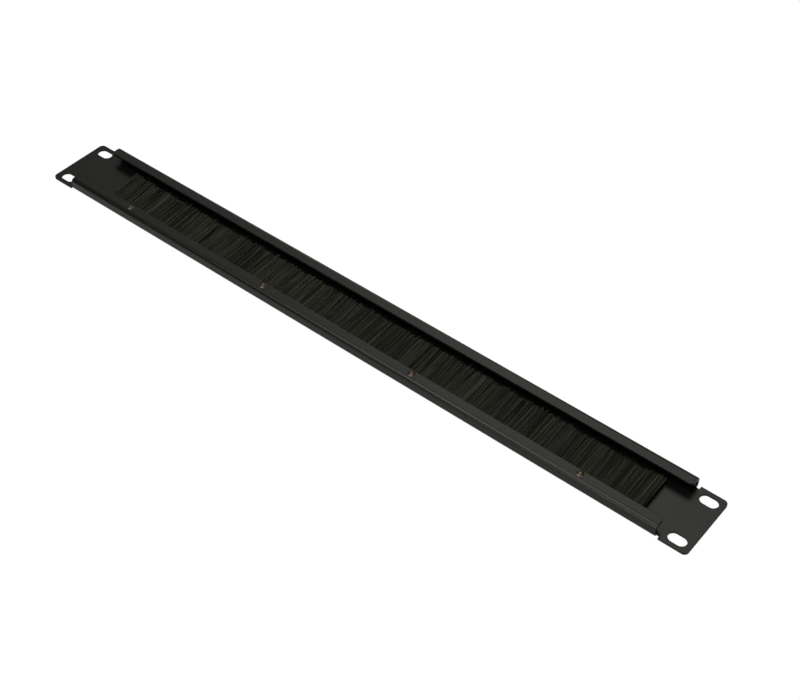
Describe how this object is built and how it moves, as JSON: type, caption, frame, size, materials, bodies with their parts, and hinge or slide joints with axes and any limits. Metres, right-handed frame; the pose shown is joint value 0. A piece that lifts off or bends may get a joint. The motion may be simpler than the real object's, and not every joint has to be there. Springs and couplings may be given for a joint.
{
  "type": "rack brush strip panel",
  "caption": "One-unit rack panel folded from black sheet steel, with slotted ears, a long cable window and a riveted brush strip whose bristles close the window.",
  "frame": {"origin": "centre of the front face, on the surface that the panel lies on", "axes": "+X along the panel, +Y from the brush strip's lip to the free lip, +Z from the front face to the rear lips"},
  "size_m": [0.4826, 0.0436, 0.0091],
  "materials": {
    "powder_coat": "satin black powder coat",
    "strip_steel": "black lacquered steel",
    "wire_steel": "drawn wire",
    "bristle_nylon": "black nylon filament",
    "rivet_metal": "browned metal",
    "mandrel_steel": "broken steel stem"
  },
  "bodies": {
    "root": {"panel": "powder_coat", "brush_channel": "strip_steel", "core_wire": "wire_steel", "bristles": "bristle_nylon", "rivet_bodies": "rivet_metal", "rivet_mandrels": "mandrel_steel"}
  },
  "joints": []
}
